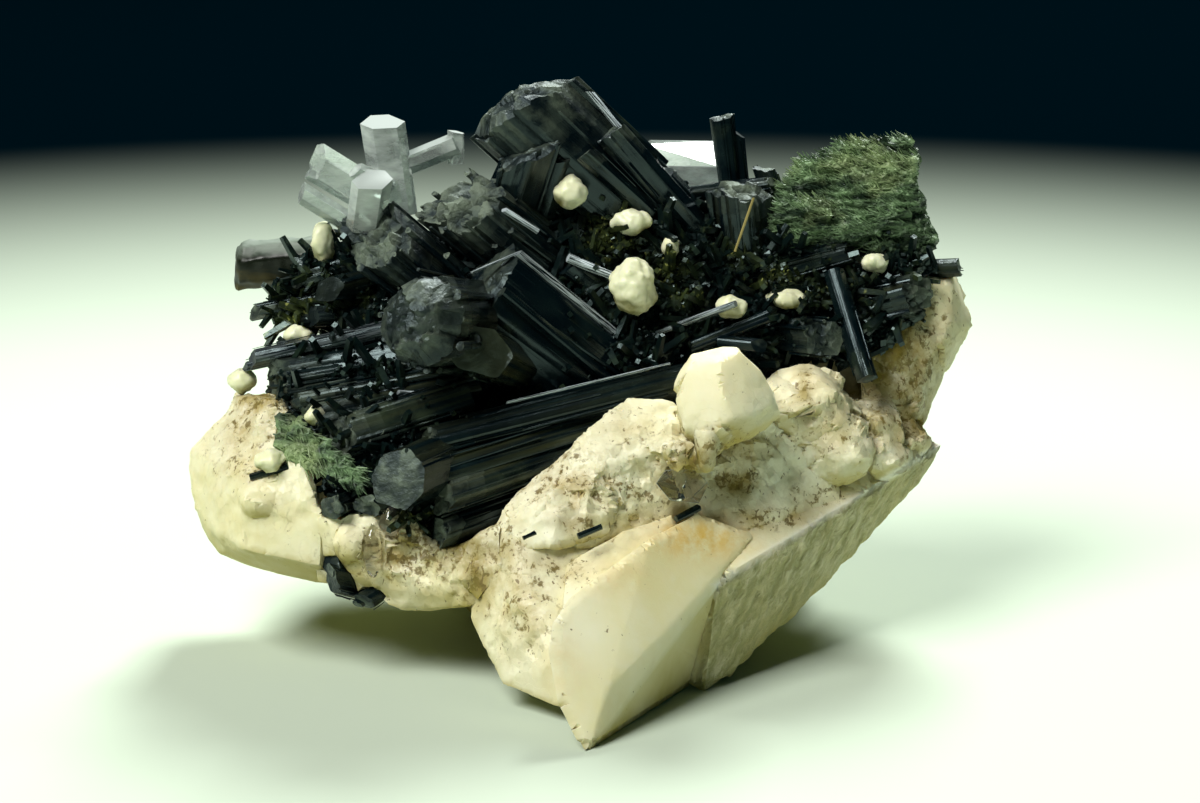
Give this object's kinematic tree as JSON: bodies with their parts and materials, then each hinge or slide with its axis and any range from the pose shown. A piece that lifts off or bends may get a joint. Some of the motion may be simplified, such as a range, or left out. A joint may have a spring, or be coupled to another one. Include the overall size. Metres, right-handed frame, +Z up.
{
  "type": "black tourmaline specimen",
  "caption": "Loose mineral specimen: black tourmaline crystals with quartz and green fibrous mineral on cream feldspar matrix.",
  "frame": {"origin": "middle of the bounding box on the surface that the specimen rests on", "axes": "+X to the right as seen from the front, +Y to the back, +Z up"},
  "size_m": [0.0804, 0.0589, 0.0569],
  "materials": {
    "feldspar": "matte to satin cream mineral, stained brown in its hollows",
    "schorl": "glossy black crystal with fine ribs along its length",
    "quartz": "clear to frosted crystal",
    "smoky": "smoky clear crystal",
    "green": "rough fibrous green mineral",
    "white": "smooth cream mineral drop"
  },
  "bodies": {
    "root": {"blob_far_left": "white", "blob_flat": "white", "blob_hook": "white", "blob_left_low": "white", "blob_left_top": "white", "blob_lobe": "white", "blob_main": "white", "blob_right": "white", "blob_small": "white", "blob_stack": "white", "blob_upper": "white", "blob_wide": "white", "feldspar_matrix": "feldspar", "glass_drop_round": "quartz", "glass_drop_tall": "quartz", "green_mass_left": "green", "green_mass_right": "green", "needle_front": "schorl", "needle_left": "schorl", "needle_mid": "schorl", "needle_right": "schorl", "quartz_clear": "quartz", "quartz_group": "quartz", "quartz_pale_back": "quartz", "quartz_smoky": "smoky", "tourmaline_blade": "schorl", "tourmaline_cluster": "schorl", "tourmaline_lower_blocks": "schorl", "tourmaline_lower_chips": "schorl", "tourmaline_right_end": "schorl"}
  },
  "joints": []
}
